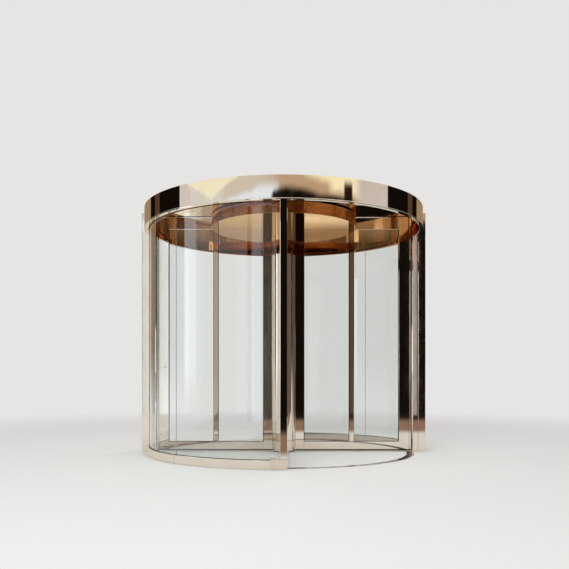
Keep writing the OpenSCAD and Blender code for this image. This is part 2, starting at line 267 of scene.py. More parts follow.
def grown(name, tree, values):
    """A piece made by a geometry tree with its inputs set."""
    piece = bpy.data.objects.new(name, bpy.data.meshes.new(name))
    bpy.context.scene.collection.objects.link(piece)
    modifier = piece.modifiers.new("repeats", "NODES")
    modifier.node_group = tree
    sockets = {item.name: item.identifier for item in tree.interface.items_tree
               if item.in_out == "INPUT"}
    for label, value in values.items():
        modifier[sockets[label]] = value
    return plain(piece)


def screw_circle():
    """Flat-headed screws, spaced evenly round a circle and turned at random. Each has a round
    socket half as wide as its head."""
    tree, given, out = node_tree("screws round a circle", {
        "Count": "NodeSocketInt", "Circle Radius": "NodeSocketFloat", "Height": "NodeSocketFloat",
        "Head Radius": "NodeSocketFloat", "Head Height": "NodeSocketFloat", "Seed": "NodeSocketInt",
        "Material": "NodeSocketMaterial"})
    circle = add_node(tree, "GeometryNodeMeshCircle", {},
                      {"Vertices": given["Count"], "Radius": given["Circle Radius"]})
    lift = add_node(tree, "ShaderNodeCombineXYZ", {}, {"Z": given["Height"]})
    places = add_node(tree, "GeometryNodeSetPosition", {},
                      {"Geometry": circle.outputs[0], "Offset": lift.outputs[0]})
    head = add_node(tree, "GeometryNodeMeshCylinder", {"Vertices": 20},
                    {"Radius": given["Head Radius"], "Depth": given["Head Height"]})
    rim = add_node(tree, "GeometryNodeExtrudeMesh", {"Offset Scale": 0.0},
                   {"Mesh": head.outputs["Mesh"], "Selection": head.outputs["Top"]})
    mouth = add_node(tree, "GeometryNodeScaleElements", {"Scale": 0.5},
                     {"Geometry": rim.outputs["Mesh"], "Selection": rim.outputs["Top"]})
    depth = add_node(tree, "ShaderNodeMath", {1: -0.7}, {0: given["Head Height"]}, operation="MULTIPLY")
    socket = add_node(tree, "GeometryNodeExtrudeMesh", {},
                      {"Mesh": mouth.outputs[0], "Selection": rim.outputs["Top"],
                       "Offset Scale": depth.outputs[0]})
    spin = add_node(tree, "FunctionNodeRandomValue", {"Min": (0, 0, 0), "Max": (0, 0, math.tau)},
                    {"Seed": given["Seed"]}, data_type="FLOAT_VECTOR")
    screws = add_node(tree, "GeometryNodeInstanceOnPoints", {},
                      {"Points": places.outputs[0], "Instance": socket.outputs["Mesh"],
                       "Rotation": spin.outputs[0]})
    real = add_node(tree, "GeometryNodeRealizeInstances", {}, {"Geometry": screws.outputs[0]})
    painted = add_node(tree, "GeometryNodeSetMaterial", {},
                       {"Geometry": real.outputs[0], "Material": given["Material"]})
    tree.links.new(painted.outputs[0], out.inputs[0])
    return tree


screws = screw_circle()
ring_screws = grown("floor_ring_screws", screws, {
    "Count": 24, "Circle Radius": ring_out - ring_width / 2, "Height": ring_top,
    "Head Radius": 0.006, "Head Height": 0.001, "Seed": 3, "Material": satin_steel})
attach(ring_screws, "drum")


def dress(material, *names):
    """Gives CAD pieces whose shape is right their finish."""
    for name in names:
        mesh = nodes[name].data
        mesh.materials.clear()
        mesh.materials.append(material)


dress(ring_steel, "floor_bearing", "top_bearing")


# Base rails and feet
# Each curved wall stands in a rail of folded sheet, mirror-polished and coated in champagne
# gold. The rail comes in two lengths. It ends at a cast foot that carries the free post.

# Mirror-polished stainless steel with a champagne vapour coating: a clear, warm, bright mirror
champagne = polished_steel("mirror-polished champagne steel", "#F1E8DD", "#E9DECF", "#FFFAF2")
# The front wall's own angles. The back wall is the front one after a half-turn
wall_start, wall_mid, wall_end = 180, 225, 270
HALF_TURN = {"front": 0, "back": 180}
wall_r = (post_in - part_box("front_post")[0].y) / 2
rail_half, rail_top = 0.035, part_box("front_base_rail")[1].z
joint_width = 0.003
joint_half = math.degrees(joint_width / 2 / wall_r)
post_half_angle = math.degrees(math.asin(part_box("front_post")[1].x / wall_r))
foot_angle = math.degrees(math.asin(-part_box("front_foot")[0].x / wall_r))
rail_outline = softened(band(wall_r - rail_half, wall_r + rail_half, 0, rail_top), radius=0.004)
rail_lengths = ((wall_start + post_half_angle, wall_mid - joint_half),
                (wall_mid + joint_half, wall_end - foot_angle))
for side, spin in HALF_TURN.items():
    build = bmesh.new()
    for start, stop in rail_lengths:
        turn(build, rail_outline, start + spin, stop + spin)
    rail = finished(f"{side}_wall_base_rail", build, [champagne])
    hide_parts(f"{side}_base_rail")
    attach(rail, "drum")

# The casting is polished by hand and stays softer in its shine than the sheet
cast_foot = polished_steel("hand-polished cast stainless steel", "#F0E4D6", "#E4D5C3", "#FFF8EE",
                           roughness=(0.08, 0.16), wave_mm=0.2)
foot_out, foot_top = -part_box("front_foot")[0].y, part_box("front_foot")[1].z
hairline_angle = 0.01
foot_outline = softened(band(post_in, foot_out, 0, foot_top), radius=0.004)
for side, spin in HALF_TURN.items():
    build = bmesh.new()
    turn(build, foot_outline, wall_end - foot_angle + hairline_angle + spin,
         wall_end + post_half_angle + spin)
    foot = finished(f"{side}_post_foot", build, [cast_foot])
    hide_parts(f"{side}_foot")
    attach(foot, "drum")


# Curved glass walls
# Two bent panes of clear laminated glass close a quadrant of the drum at the front, and two
# more the opposite one at the back. A clear silicone joint parts them.

def clear_glass(name, tint, wave_mm):
    """Clear float glass, faintly wavy. It lets lamps through, so that it throws only a faint
    shadow."""
    material, tree = new_material(name)
    haze = stretched_noise(tree, 180, (1, 1, 2.5), 4.0, 0.6)
    smears = add_node(tree, "ShaderNodeMapRange", {"From Min": 0.4, "From Max": 0.8, "To Max": 0.006},
                      {"Value": haze.outputs[0]})
    rolled = stretched_noise(tree, 420, (1, 1, 3), 0.0, 0.3)
    bump = add_node(tree, "ShaderNodeBump", {"Strength": 1.0, "Distance": wave_mm / 1000},
                    {"Height": rolled.outputs[0]})
    pane = add_node(tree, "ShaderNodeBsdfPrincipled",
                    {"Base Color": linear(tint), "IOR": 1.5, "Transmission Weight": 1.0},
                    {"Roughness": smears.outputs["Result"], "Normal": bump.outputs[0]})
    clear = add_node(tree, "ShaderNodeBsdfTransparent", {"Color": linear(tint)})
    path = add_node(tree, "ShaderNodeLightPath")
    both = add_node(tree, "ShaderNodeMixShader",
                    links={"Fac": path.outputs["Is Shadow Ray"], 1: pane.outputs[0], 2: clear.outputs[0]})
    add_node(tree, "ShaderNodeOutputMaterial", links={"Surface": both.outputs[0]})
    return material


# Two bent sheets laminated together, clear but for a breath of green and its mirror sheen
bent_glass = clear_glass("bent laminated glass", "#FAFCFB", wave_mm=0.036)
glass_half = 0.006
pane_low, pane_high = (corner.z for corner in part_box("front_wall_pane_left"))
pane_end = math.degrees(math.asin(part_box("front_wall_pane_left")[1].y / -wall_r))
pane_outline = softened(band(wall_r - glass_half, wall_r + glass_half, pane_low, pane_high),
                        radius=0.0008, steps=1)
pane_lengths = ((wall_start + pane_end, wall_mid - joint_half),
                (wall_mid + joint_half, wall_end - pane_end))
for side, spin in HALF_TURN.items():
    places = ("left", "right") if side == "front" else ("right", "left")
    for place, (start, stop) in zip(places, pane_lengths):
        build = bmesh.new()
        turn(build, pane_outline, start + spin, stop + spin)
        pane = finished(f"{side}_{place}_curved_pane", build, [bent_glass])
        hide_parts(f"{side}_wall_pane_{place}")
        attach(pane, "drum")

# Extruded EPDM gasket: black and dull, with a slightly greyer bloom in patches
rubber, tree = new_material("black EPDM gasket")
bloom = stretched_noise(tree, 40, (1, 1, 4), 3.0)
gasket_dullness = add_node(tree, "ShaderNodeMapRange",
                           {"From Min": 0.3, "From Max": 0.7, "To Min": 0.5, "To Max": 0.7},
                           {"Value": bloom.outputs[0]})
gasket_colour = add_node(tree, "ShaderNodeMix", {"A": linear("#141312"), "B": linear("#211F1D")},
                         {"Factor": bloom.outputs[0]}, data_type="RGBA")
gasket = add_node(tree, "ShaderNodeBsdfPrincipled", {},
                  {"Base Color": gasket_colour.outputs["Result"],
                   "Roughness": gasket_dullness.outputs["Result"]})
add_node(tree, "ShaderNodeOutputMaterial", links={"Surface": gasket.outputs[0]})

# Tooled silicone: a milky, half-clear line with a soft shine
silicone, tree = new_material("clear glazing silicone")
tooling = stretched_noise(tree, 30, (1, 1, 6), 3.0)
silicone_dullness = add_node(tree, "ShaderNodeMapRange",
                             {"From Min": 0.3, "From Max": 0.7, "To Min": 0.25, "To Max": 0.4},
                             {"Value": tooling.outputs[0]})
sealant = add_node(tree, "ShaderNodeBsdfPrincipled",
                   {"Base Color": linear("#D9DEDC"), "IOR": 1.4, "Transmission Weight": 0.6},
                   {"Roughness": silicone_dullness.outputs["Result"]})
add_node(tree, "ShaderNodeOutputMaterial", links={"Surface": sealant.outputs[0]})

seal_width, seal_proud, seal_sunk, seal_gap = 0.005, 0.003, 0.006, 0.0001
clear_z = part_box("fascia_front")[0].z
seal_rows = ((rail_top - seal_sunk, wall_start + post_half_angle, wall_end - foot_angle),
             (clear_z - seal_proud, wall_start + post_half_angle, wall_end - post_half_angle))
joint_outline = band(wall_r - glass_half, wall_r + glass_half, rail_top, clear_z)
for side, spin in HALF_TURN.items():
    build = bmesh.new()
    for r in (wall_r - glass_half - seal_width, wall_r + glass_half + seal_gap):
        for z, start, stop in seal_rows:
            outline = band(r, r + seal_width - seal_gap, z, z + seal_sunk + seal_proud)
            turn(build, softened(outline, radius=0.001, steps=2), start + spin, stop + spin)
    seals = finished(f"{side}_wall_glazing_seals", build, [rubber])
    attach(seals, "drum")
    build = bmesh.new()
    turn(build, joint_outline, wall_mid - joint_half + spin, wall_mid + joint_half + spin)
    joint = finished(f"{side}_wall_silicone_joint", build, [silicone])
    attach(joint, "drum")


# Posts, jambs and head channels
# Straight box profiles of the same champagne steel stand round the drum, and a rolled channel
# behind the fascia holds the top of each curved wall.

# The same sheet in a bronze coating: a dark amber mirror, broken into upright strokes by the rolls
bronze = polished_steel("mirror-polished bronze steel", "#DDB48C", "#C4946A", "#F4D2A8", strokes_mm=0.9)
dress(champagne, "front_post", "back_post", "left_post", "right_post", "left_jamb", "right_jamb")
head_low, head_high = (corner.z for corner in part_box("front_head_channel"))
fascia_in = -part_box("ceiling")[0].x
channel_outline = softened(band(2 * wall_r - fascia_in, fascia_in, head_low, head_high), radius=0.003)
for side, spin in HALF_TURN.items():
    build = bmesh.new()
    turn(build, channel_outline, wall_start + spin, wall_end + spin)
    channel = finished(f"{side}_wall_head_channel", build, [bronze])
    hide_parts(f"{side}_head_channel")
    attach(channel, "drum")


# Fascia
# A deep ring of champagne mirror sheet round the head of the drum, with a bright lip along its
# lower edge. Its inner skin is the darker bronze that the head channels have.

drum_r = -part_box("fascia_front")[0].y
fascia_low, fascia_high = (corner.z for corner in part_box("fascia_front"))
skin, lip_high, lip_out, lip_slope = 0.004, 0.012, 0.004, 0.002
face_r = drum_r - lip_out
jamb_half, jamb_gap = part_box("left_jamb")[1].y, 0.0005
notch = math.degrees(math.asin((jamb_half + jamb_gap) / drum_r))
post_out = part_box("right_jamb")[0].x
shell_outline = softened([(fascia_in + skin, fascia_low), (drum_r, fascia_low),
                          (drum_r, fascia_low + lip_high), (face_r, fascia_low + lip_high + lip_slope),
                          (face_r, fascia_high), (fascia_in + skin, fascia_high)], radius=0.0018, steps=2)
skin_outline = softened(band(fascia_in + hairline, fascia_in + skin, fascia_low, fascia_high),
                        radius=0.001, steps=2)
bridge_outline = band(fascia_in + skin, post_out - hairline, fascia_low, fascia_high)
for side, spin in {"back": 0, "front": 180}.items():
    build = bmesh.new()
    turn(build, shell_outline, spin + notch, spin + 180 - notch, step=0.75)
    turn(build, skin_outline, spin, spin + 180, step=0.75, finish=1)
    for start, stop in ((0, notch), (180 - notch, 180)):
        turn(build, bridge_outline, spin + start, spin + stop)
    ring = finished(f"{side}_fascia_ring", build, [champagne, bronze])
    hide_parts(f"fascia_{side}")
    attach(ring, "drum")


# Ceiling and roof
# The ceiling is a disc of champagne mirror sheet. The roof over it is coated steel in pie-shaped
# sheets, with flat cover strips over their joints.

# Flat sheet in the champagne coating, a shade warmer than on the posts
ceiling_steel = polished_steel("mirror-polished ceiling sheet", "#F3E8DA", "#EADAC6", "#FFF6E6")
dress(ceiling_steel, "ceiling")


def coated_sheet(name, pale, deep):
    """Powder-coated steel sheet: dull, finely pebbled and a little dusty. The pebbles are drawn
    4 mm apart, because finer ones would not show."""
    material, tree = new_material(name)
    dust = stretched_noise(tree, 320, (1, 1, 1), 6.0, 0.6)
    pebbles = stretched_noise(tree, 4, (1, 1, 1), 2.0, 0.5)
    bump = add_node(tree, "ShaderNodeBump", {"Strength": 0.4, "Distance": 0.0002},
                    {"Height": pebbles.outputs[0]})
    dust_share = add_node(tree, "ShaderNodeMapRange", {"From Min": 0.3, "From Max": 0.7},
                          {"Value": dust.outputs[0]})
    colour = add_node(tree, "ShaderNodeMix", {"A": linear(pale), "B": linear(deep)},
                      {"Factor": dust_share.outputs["Result"]}, data_type="RGBA")
    dullness = add_node(tree, "ShaderNodeMapRange",
                        {"From Min": 0.3, "From Max": 0.7, "To Min": 0.5, "To Max": 0.7},
                        {"Value": dust.outputs[0]})
    coat = add_node(tree, "ShaderNodeBsdfPrincipled", {},
                    {"Base Color": colour.outputs["Result"], "Roughness": dullness.outputs["Result"],
                     "Normal": bump.outputs[0]})
    add_node(tree, "ShaderNodeOutputMaterial", links={"Surface": coat.outputs[0]})
    return material


# A plain grey outdoor coating, which hardly shines
roof_paint = coated_sheet("powder-coated roof sheet", "#5C5954", "#4A4743")
dress(roof_paint, "roof_cover")
# The strips were coated in another batch and came out paler
strip_paint = coated_sheet("powder-coated cover strip", "#7A766F", "#68645E")
strip_count, strip_width, strip_thick, strip_edge = 8, 0.060, 0.003, 0.001
strip_lap, strip_end_gap = 0.005, 0.030
hub_plate_r, hub_plate_thick = 0.240, 0.004
roof_r, roof_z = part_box("roof_cover")[1].x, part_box("roof_cover")[1].z
hub_plate = softened(band(0, hub_plate_r, roof_z, roof_z + hub_plate_thick), radius=0.001, steps=2)
build = bmesh.new()
turn(build, hub_plate, step=5)
for k in range(strip_count):
    bar(build, (hub_plate_r - strip_lap, -strip_width / 2, roof_z),
        (roof_r - strip_end_gap, strip_width / 2, roof_z + strip_thick),
        360 * (k + 0.5) / strip_count, strip_edge)
strips = finished("roof_cover_strips", build, [strip_paint])
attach(strips, "drum")
screw_circles, screw_spacing = 4, 0.40
half_a_strip = Matrix.Rotation(math.radians(180 / strip_count), 4, "Z")
for k in range(screw_circles):
    roof_screws = grown(f"roof_strip_screws_{k + 1}", screws, {
        "Count": strip_count, "Circle Radius": screw_spacing * (k + 1), "Height": roof_z + strip_thick,
        "Head Radius": 0.007, "Head Height": 0.002, "Seed": 11 + k, "Material": satin_steel})
    roof_screws.data.transform(half_a_strip)
    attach(roof_screws, "drum")


# Column and turning disc
# The column is a drawn tube, polished like the posts. The disc over the wings has a bronze rim
# and a tan mirror soffit, and turns with them.

column_r, column_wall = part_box("column")[1].x, 0.006
column_low, column_high = (corner.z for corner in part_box("column"))
column_outline = softened(band(column_r - column_wall, column_r, column_low, column_high), radius=0.002)
build = bmesh.new()
turn(build, column_outline, step=2.5)
column = finished("centre_column", build, [champagne])
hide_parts("column")
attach(column, "rotor")

disc_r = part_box("disc_rim")[1].x
disc_low, disc_high = (corner.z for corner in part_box("disc_rim"))
rim_outline = softened(band(disc_r - skin, disc_r, disc_low, disc_high), radius=0.0018)
build = bmesh.new()
turn(build, rim_outline, step=1.5)
rim = finished("turning_disc_rim", build, [bronze])
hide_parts("disc_rim")
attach(rim, "rotor")
# The soffit's coating lies between champagne and bronze, a golden tan mirror
soffit_steel = polished_steel("mirror-polished tan steel", "#DFBE94", "#D0AA7D", "#FDE6C6")
dress(soffit_steel, "disc_soffit", "drive_hub")


# Wings
# Stiles and rails are box profiles of champagne steel round two flat panes of clear safety
# glass. Black nylon brushes close the gaps at the floor, the posts and the ceiling.

# Toughened float glass, flatter than the bent panes, so its mirror image hardly wavers
flat_glass = clear_glass("flat toughened glass", "#FAFCFB", wave_mm=0.03)


def nylon_bristle(name, pale, deep):
    """Black nylon filament, packed side by side: matt, with some filaments darker than others.
    They differ every 2 mm here, because single filaments would not show."""
    material, tree = new_material(name)
    strands = stretched_noise(tree, 2, (1, 1, 1), 2.0, 0.5)
    colour = add_node(tree, "ShaderNodeMix", {"A": linear(pale), "B": linear(deep)},
                      {"Factor": strands.outputs[0]}, data_type="RGBA")
    nylon = add_node(tree, "ShaderNodeBsdfPrincipled", {"Roughness": 0.75},
                     {"Base Color": colour.outputs["Result"]})
    add_node(tree, "ShaderNodeOutputMaterial", links={"Surface": nylon.outputs[0]})
    return material


# Packed into a brush it is nearly black, because light gets lost between the tufts
bristles = nylon_bristle("black nylon brush", "#24221F", "#0E0D0C")


def tuft_rows():
    """Rows of bristle tufts along a line, each a little out of place, leaning and uneven."""
    tree, given, out = node_tree("tufts along a line", {
        "Count": "NodeSocketInt", "Start": "NodeSocketVector", "Step": "NodeSocketVector",
        "Rows": "NodeSocketInt", "Row Step": "NodeSocketVector", "Direction": "NodeSocketVector",
        "Length": "NodeSocketFloat", "Thickness": "NodeSocketFloat", "Seed": "NodeSocketInt",
        "Material": "NodeSocketMaterial"})
    line = add_node(tree, "GeometryNodeMeshLine", {},
                    {"Count": given["Count"], "Start Location": given["Start"], "Offset": given["Step"]})
    row = add_node(tree, "GeometryNodeMeshLine", {},
                   {"Count": given["Rows"], "Offset": given["Row Step"]})
    grid = add_node(tree, "GeometryNodeInstanceOnPoints", {},
                    {"Points": line.outputs[0], "Instance": row.outputs[0]})
    spots = add_node(tree, "GeometryNodeRealizeInstances", {}, {"Geometry": grid.outputs[0]})
    stray = add_node(tree, "FunctionNodeRandomValue", {"Min": (-0.0006,) * 3, "Max": (0.0006,) * 3},
                     {"Seed": given["Seed"]}, data_type="FLOAT_VECTOR")
    placed = add_node(tree, "GeometryNodeSetPosition", {},
                      {"Geometry": spots.outputs[0], "Offset": stray.outputs[0]})
    slim = add_node(tree, "ShaderNodeMath", {1: 0.6}, {0: given["Thickness"]}, operation="MULTIPLY")
    tuft = add_node(tree, "GeometryNodeMeshCone", {"Vertices": 3},
                    {"Radius Top": slim.outputs[0], "Radius Bottom": given["Thickness"],
                     "Depth": given["Length"]}, fill_type="NGON")
    lean = add_node(tree, "FunctionNodeRandomValue", {"Min": (-0.05,) * 3, "Max": (0.05,) * 3},
                    {"Seed": given["Seed"]}, data_type="FLOAT_VECTOR")
    facing = add_node(tree, "ShaderNodeVectorMath", {}, {0: given["Direction"], 1: lean.outputs[0]},
                      operation="ADD")
    uneven = add_node(tree, "FunctionNodeRandomValue", {"Min": (1, 1, 0.9), "Max": (1, 1, 0.98)},
                      {"Seed": given["Seed"]}, data_type="FLOAT_VECTOR")
    tufts = add_node(tree, "GeometryNodeInstanceOnPoints", {},
                     {"Points": placed.outputs[0], "Instance": tuft.outputs["Mesh"],
                      "Rotation": facing.outputs[0], "Scale": uneven.outputs[0]})
    real = add_node(tree, "GeometryNodeRealizeInstances", {}, {"Geometry": tufts.outputs[0]})
    painted = add_node(tree, "GeometryNodeSetMaterial", {},
                       {"Geometry": real.outputs[0], "Material": given["Material"]})
    tree.links.new(painted.outputs[0], out.inputs[0])
    return tree


tufts = tuft_rows()
brush_low, brush_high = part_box("right_wing_brushes")
rail_low, rail_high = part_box("right_wing_rails")
bead_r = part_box("right_wing_stiles")[1].x
pitch, rows, row_step, tuft_r = 0.003, 4, 0.0026, 0.0013
row_start = -row_step * (rows - 1) / 2
# How far the tufts are rooted in the frame, and keep from the near and the far end of a run
root, near_end, far_end = 0.001, 0.003, 0.002
runs = {
    "floor": {"Start": (brush_low.x + far_end, row_start, rail_low.z + root), "Step": (pitch, 0, 0),
              "Count": int((brush_high.x - brush_low.x - 2 * far_end) / pitch),
              "Direction": (math.pi, 0, 0), "Length": rail_low.z - brush_low.z + root},
    "edge": {"Start": (bead_r - root, row_start, brush_low.z + near_end), "Step": (0, 0, pitch),
             "Count": int((brush_high.z - brush_low.z - near_end - far_end) / pitch),
             "Direction": (0, math.pi / 2, 0), "Length": brush_high.x - bead_r + root},
    "head": {"Start": (disc_r + near_end, row_start, rail_high.z - root), "Step": (pitch, 0, 0),
             "Count": int((brush_high.x - disc_r - near_end - far_end) / pitch),
             "Direction": (0, 0, 0), "Length": brush_high.z - rail_high.z + root},
}
# The tufts stand round a flat core, which keeps back from their tips and sits in the frame's slots
core_half, core_back, core_sunk, disc_gap = 0.0032, 0.002, 0.006, 0.001
foot_z, tip_z, tip_x = brush_low.z + core_back, brush_high.z - core_back, brush_high.x - core_back
for side, angle in SIDES.items():
    build = bmesh.new()
    bar(build, (brush_low.x, -core_half, foot_z), (tip_x, core_half, rail_low.z + core_sunk))
    bar(build, (bead_r - core_sunk, -core_half, foot_z), (tip_x, core_half, tip_z))
    bar(build, (disc_r + disc_gap, -core_half, rail_high.z - core_sunk), (tip_x, core_half, tip_z))
    for k, (run, values) in enumerate(runs.items()):
        part = grown(f"{side}_{run}_tufts", tufts, {
            **values, "Rows": rows, "Row Step": (0, row_step, 0), "Thickness": tuft_r,
            "Seed": 20 + 10 * angle + k, "Material": bristles})
        build.from_mesh(part.data)
        bpy.data.objects.remove(part)
    bmesh.ops.rotate(build, verts=build.verts, matrix=Matrix.Rotation(math.radians(angle), 3, "Z"))
    for face in build.faces:
        face.material_index = 0
    mesh = bpy.data.meshes.new(f"{side}_nylon_brushes")
    build.to_mesh(mesh)
    build.free()
    mesh.materials.append(bristles)
    brush = bpy.data.objects.new(f"{side}_nylon_brushes", mesh)
    bpy.context.scene.collection.objects.link(brush)
    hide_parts(f"{side}_wing_brushes")
    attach(brush, "rotor")

# A gasket bead lies on both faces of each pane, along its two sides and its foot
pocket, mid_inset, mid_width = 0.0117, 0.025, 0.060
glass_low, glass_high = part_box("right_wing_glass")
sill, head = glass_low.z + pocket, disc_low
mid_out = disc_r - mid_inset
openings = ((glass_low.x + pocket, mid_out - mid_width), (mid_out, glass_high.x - pocket))
pane_half, bead, bead_thick, bead_edge = 0.005, 0.006, 0.004, 0.001
bead_in, bead_out = pane_half + seal_gap, pane_half + bead_thick
for side, angle in SIDES.items():
    dress(champagne, f"{side}_wing_stiles", f"{side}_wing_rails")
    dress(flat_glass, f"{side}_wing_glass")
    build = bmesh.new()
    for near, far in openings:
        for y0, y1 in ((bead_in, bead_out), (-bead_out, -bead_in)):
            bar(build, (near, y0, sill), (near + bead, y1, head), angle, bead_edge)
            bar(build, (far - bead, y0, sill), (far, y1, head), angle, bead_edge)
            bar(build, (near + bead, y0, sill), (far - bead, y1, sill + bead), angle, bead_edge)
    seals = finished(f"{side}_wing_glazing_seals", build, [rubber])
    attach(seals, "rotor")

# The lock shows on both faces of its stile, with a sunk plug. Its key slot is painted shade: no hole, but
# a black bar of the gasket rubber where a slot would look dark
lock_low, lock_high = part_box("wing_lock")
lock_x, lock_z = (lock_low.x + lock_high.x) / 2, (lock_low.z + lock_high.z) / 2
lock_r, lock_reach = (lock_high.z - lock_low.z) / 2, lock_high.y
plug_r, plug_sunk = 0.007, 0.0012
slot_half, slot_sunk, slot_half_height = 0.0008, 0.0008, 0.004
lock_outline = softened([(0, 0), (lock_r, 0), (lock_r, lock_reach), (plug_r, lock_reach),
                         (plug_r, lock_reach - plug_sunk), (0, lock_reach - plug_sunk)],
                        radius=0.0008, steps=2)
build = bmesh.new()
for way in (-1, 1):
    before = set(build.verts)
    turn(build, lock_outline, step=10)
    made = [v for v in build.verts if v not in before]
    facing = Matrix.Translation((lock_x, 0, lock_z)) @ Matrix.Rotation(math.radians(-90 * way), 4, "X")
    bmesh.ops.transform(build, verts=made, matrix=facing)
    # The key slot as painted shade: a bar of black gasket rubber, not a cut
    y0, y1 = sorted((0, way * (lock_reach - slot_sunk)))
    bar(build, (lock_x - slot_half, y0, lock_z - slot_half_height),
        (lock_x + slot_half, y1, lock_z + slot_half_height), finish=1)
lock = finished("wing_lock_cylinder", build, [satin_steel, rubber])
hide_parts("wing_lock")
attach(lock, "rotor")


# Studio
# A plain pale floor and an even pale surround, with cards round the door that only its polished
# steel and its glass mirror. The camera stands where the photo was taken.

def looked_at(tree):
    """Gives 1 to a ray that looks, straight on, through glass or in a mirror, and 0 to one that
    gathers light."""
    path = add_node(tree, "ShaderNodeLightPath")
    seen = path.outputs["Is Camera Ray"]
    for way in ("Is Transmission Ray", "Is Glossy Ray"):
        seen = add_node(tree, "ShaderNodeMath", links={0: seen, 1: path.outputs[way]},
                        operation="MAXIMUM").outputs[0]
    return seen


pale_ground, pale_air = "#DEDDDB", "#E6E5E3"
fade_from, fade_to = 4.5, 11.0
floor_material, tree = new_material("studio floor")
place = add_node(tree, "ShaderNodeTexCoord")
away = add_node(tree, "ShaderNodeVectorMath", {}, {0: place.outputs["Object"]}, operation="LENGTH")
faded = add_node(tree, "ShaderNodeMapRange", {"From Min": fade_from, "From Max": fade_to},
                 {"Value": away.outputs["Value"]}, interpolation_type="SMOOTHSTEP")
share = add_node(tree, "ShaderNodeMath", links={0: looked_at(tree), 1: faded.outputs["Result"]},
                 operation="MULTIPLY")
ground = add_node(tree, "ShaderNodeBsdfDiffuse", {"Color": linear(pale_ground)})
air = add_node(tree, "ShaderNodeEmission", {"Color": linear(pale_air), "Strength": 1.0})
both = add_node(tree, "ShaderNodeMixShader",
                links={"Fac": share.outputs[0], 1: ground.outputs[0], 2: air.outputs[0]})
add_node(tree, "ShaderNodeOutputMaterial", links={"Surface": both.outputs[0]})
bpy.ops.mesh.primitive_plane_add(size=160, location=(0, 0, 0))
floor = bpy.context.object
floor.name = "studio_floor"
floor.data.materials.append(floor_material)

world = bpy.data.worlds.new("studio")
bpy.context.scene.world = world
world.use_nodes = True
tree = world.node_tree
tree.nodes.clear()
light = add_node(tree, "ShaderNodeBackground", {"Color": linear("#FFFFFF"), "Strength": 0.85})
surround = add_node(tree, "ShaderNodeBackground", {"Color": linear(pale_air), "Strength": 1.0})
both = add_node(tree, "ShaderNodeMixShader",
                links={"Fac": looked_at(tree), 1: light.outputs[0], 2: surround.outputs[0]})
add_node(tree, "ShaderNodeOutputWorld", links={"Surface": both.outputs[0]})


def card(name, columns, colour, strength, fade):
    """A card seen only in mirrored light. Its columns give the share of its width and the lower
    and upper corner there. The fades are the shares over which its ends, top and foot soften."""
    material, tree = new_material(name)
    place = add_node(tree, "ShaderNodeUVMap", uv_map="card")
    along, up = add_node(tree, "ShaderNodeSeparateXYZ", links={0: place.outputs[0]}).outputs[:2]
    path = add_node(tree, "ShaderNodeLightPath")
    shown = add_node(tree, "ShaderNodeMath", {1: 0.5}, {0: path.outputs["Glossy Depth"]},
                     operation="GREATER_THAN").outputs[0]
    to_end, to_top = (add_node(tree, "ShaderNodeMath", {0: 1.0}, {1: source},
                               operation="SUBTRACT").outputs[0] for source in (along, up))
    inwards = ((along, fade[0]), (to_end, fade[0]), (to_top, fade[1]), (up, fade[2]))
    for source, width in inwards:
        if width:
            soft = add_node(tree, "ShaderNodeMapRange", {"From Max": width}, {"Value": source},
                            interpolation_type="SMOOTHSTEP").outputs["Result"]
            shown = add_node(tree, "ShaderNodeMath", links={0: shown, 1: soft},
                             operation="MULTIPLY").outputs[0]
    glow = add_node(tree, "ShaderNodeEmission", {"Color": linear(colour), "Strength": strength})
    clear = add_node(tree, "ShaderNodeBsdfTransparent")
    both = add_node(tree, "ShaderNodeMixShader",
                    links={"Fac": shown, 1: clear.outputs[0], 2: glow.outputs[0]})
    add_node(tree, "ShaderNodeOutputMaterial", links={"Surface": both.outputs[0]})
    build = bmesh.new()
    layer = build.loops.layers.uv.new("card")
    edges = [((build.verts.new(low), (share, 0)), (build.verts.new(high), (share, 1)))
             for share, low, high in columns]
    for here, there in zip(edges, edges[1:]):
        corners = [here[0], there[0], there[1], here[1]]
        face = build.faces.new([v for v, _ in corners])
        for loop, (_, uv) in zip(face.loops, corners):
            loop[layer].uv = uv
    mesh = bpy.data.meshes.new(name)
    build.to_mesh(mesh)
    build.free()
    mesh.materials.append(material)
    piece = bpy.data.objects.new(name, mesh)
    bpy.context.scene.collection.objects.link(piece)
    piece.visible_camera = False
    piece.visible_diffuse = False
    piece.visible_shadow = False


def flag(name, stations, colour, strength=1.0, reach=9.0, fade=(0, 0, 0)):
    """A card that stands on a ring round the door, as far out as its reach. Its stations give the
    azimuth from the front and the heights of its lower and upper edge."""
    span = stations[-1][0] - stations[0][0]
    columns = []
    for azimuth, low, high in stations:
        a = math.radians(azimuth)
        x, y = reach * math.sin(a), -reach * math.cos(a)
        columns.append(((azimuth - stations[0][0]) / span, (x, y, low), (x, y, high)))
    card(name, columns, colour, strength, fade)


def level(low, high, *azimuths):
    """Stations between two level edges."""
    return [(azimuth, low, high) for azimuth in azimuths]


def arched(low, *tops):
    """Stations over a level lower edge, with an upper edge that rises and falls."""
    return [(azimuth, low, high) for azimuth, high in tops]


def board(name, across, along, height, colour, strength, fade):
    """A card that lies on the floor between two places across and two along."""
    (left, right), (far, near) = across, along
    card(name, [(0, (left, far, height), (left, near, height)),
                (1, (right, far, height), (right, near, height))], colour, strength, fade)


BLACK, BROWN, TAUPE = "#120E0B", "#5A4030", "#A08B72"
# Cards for the posts and wings end at about this height, where those for the fascia begin
SEAM = 4.6
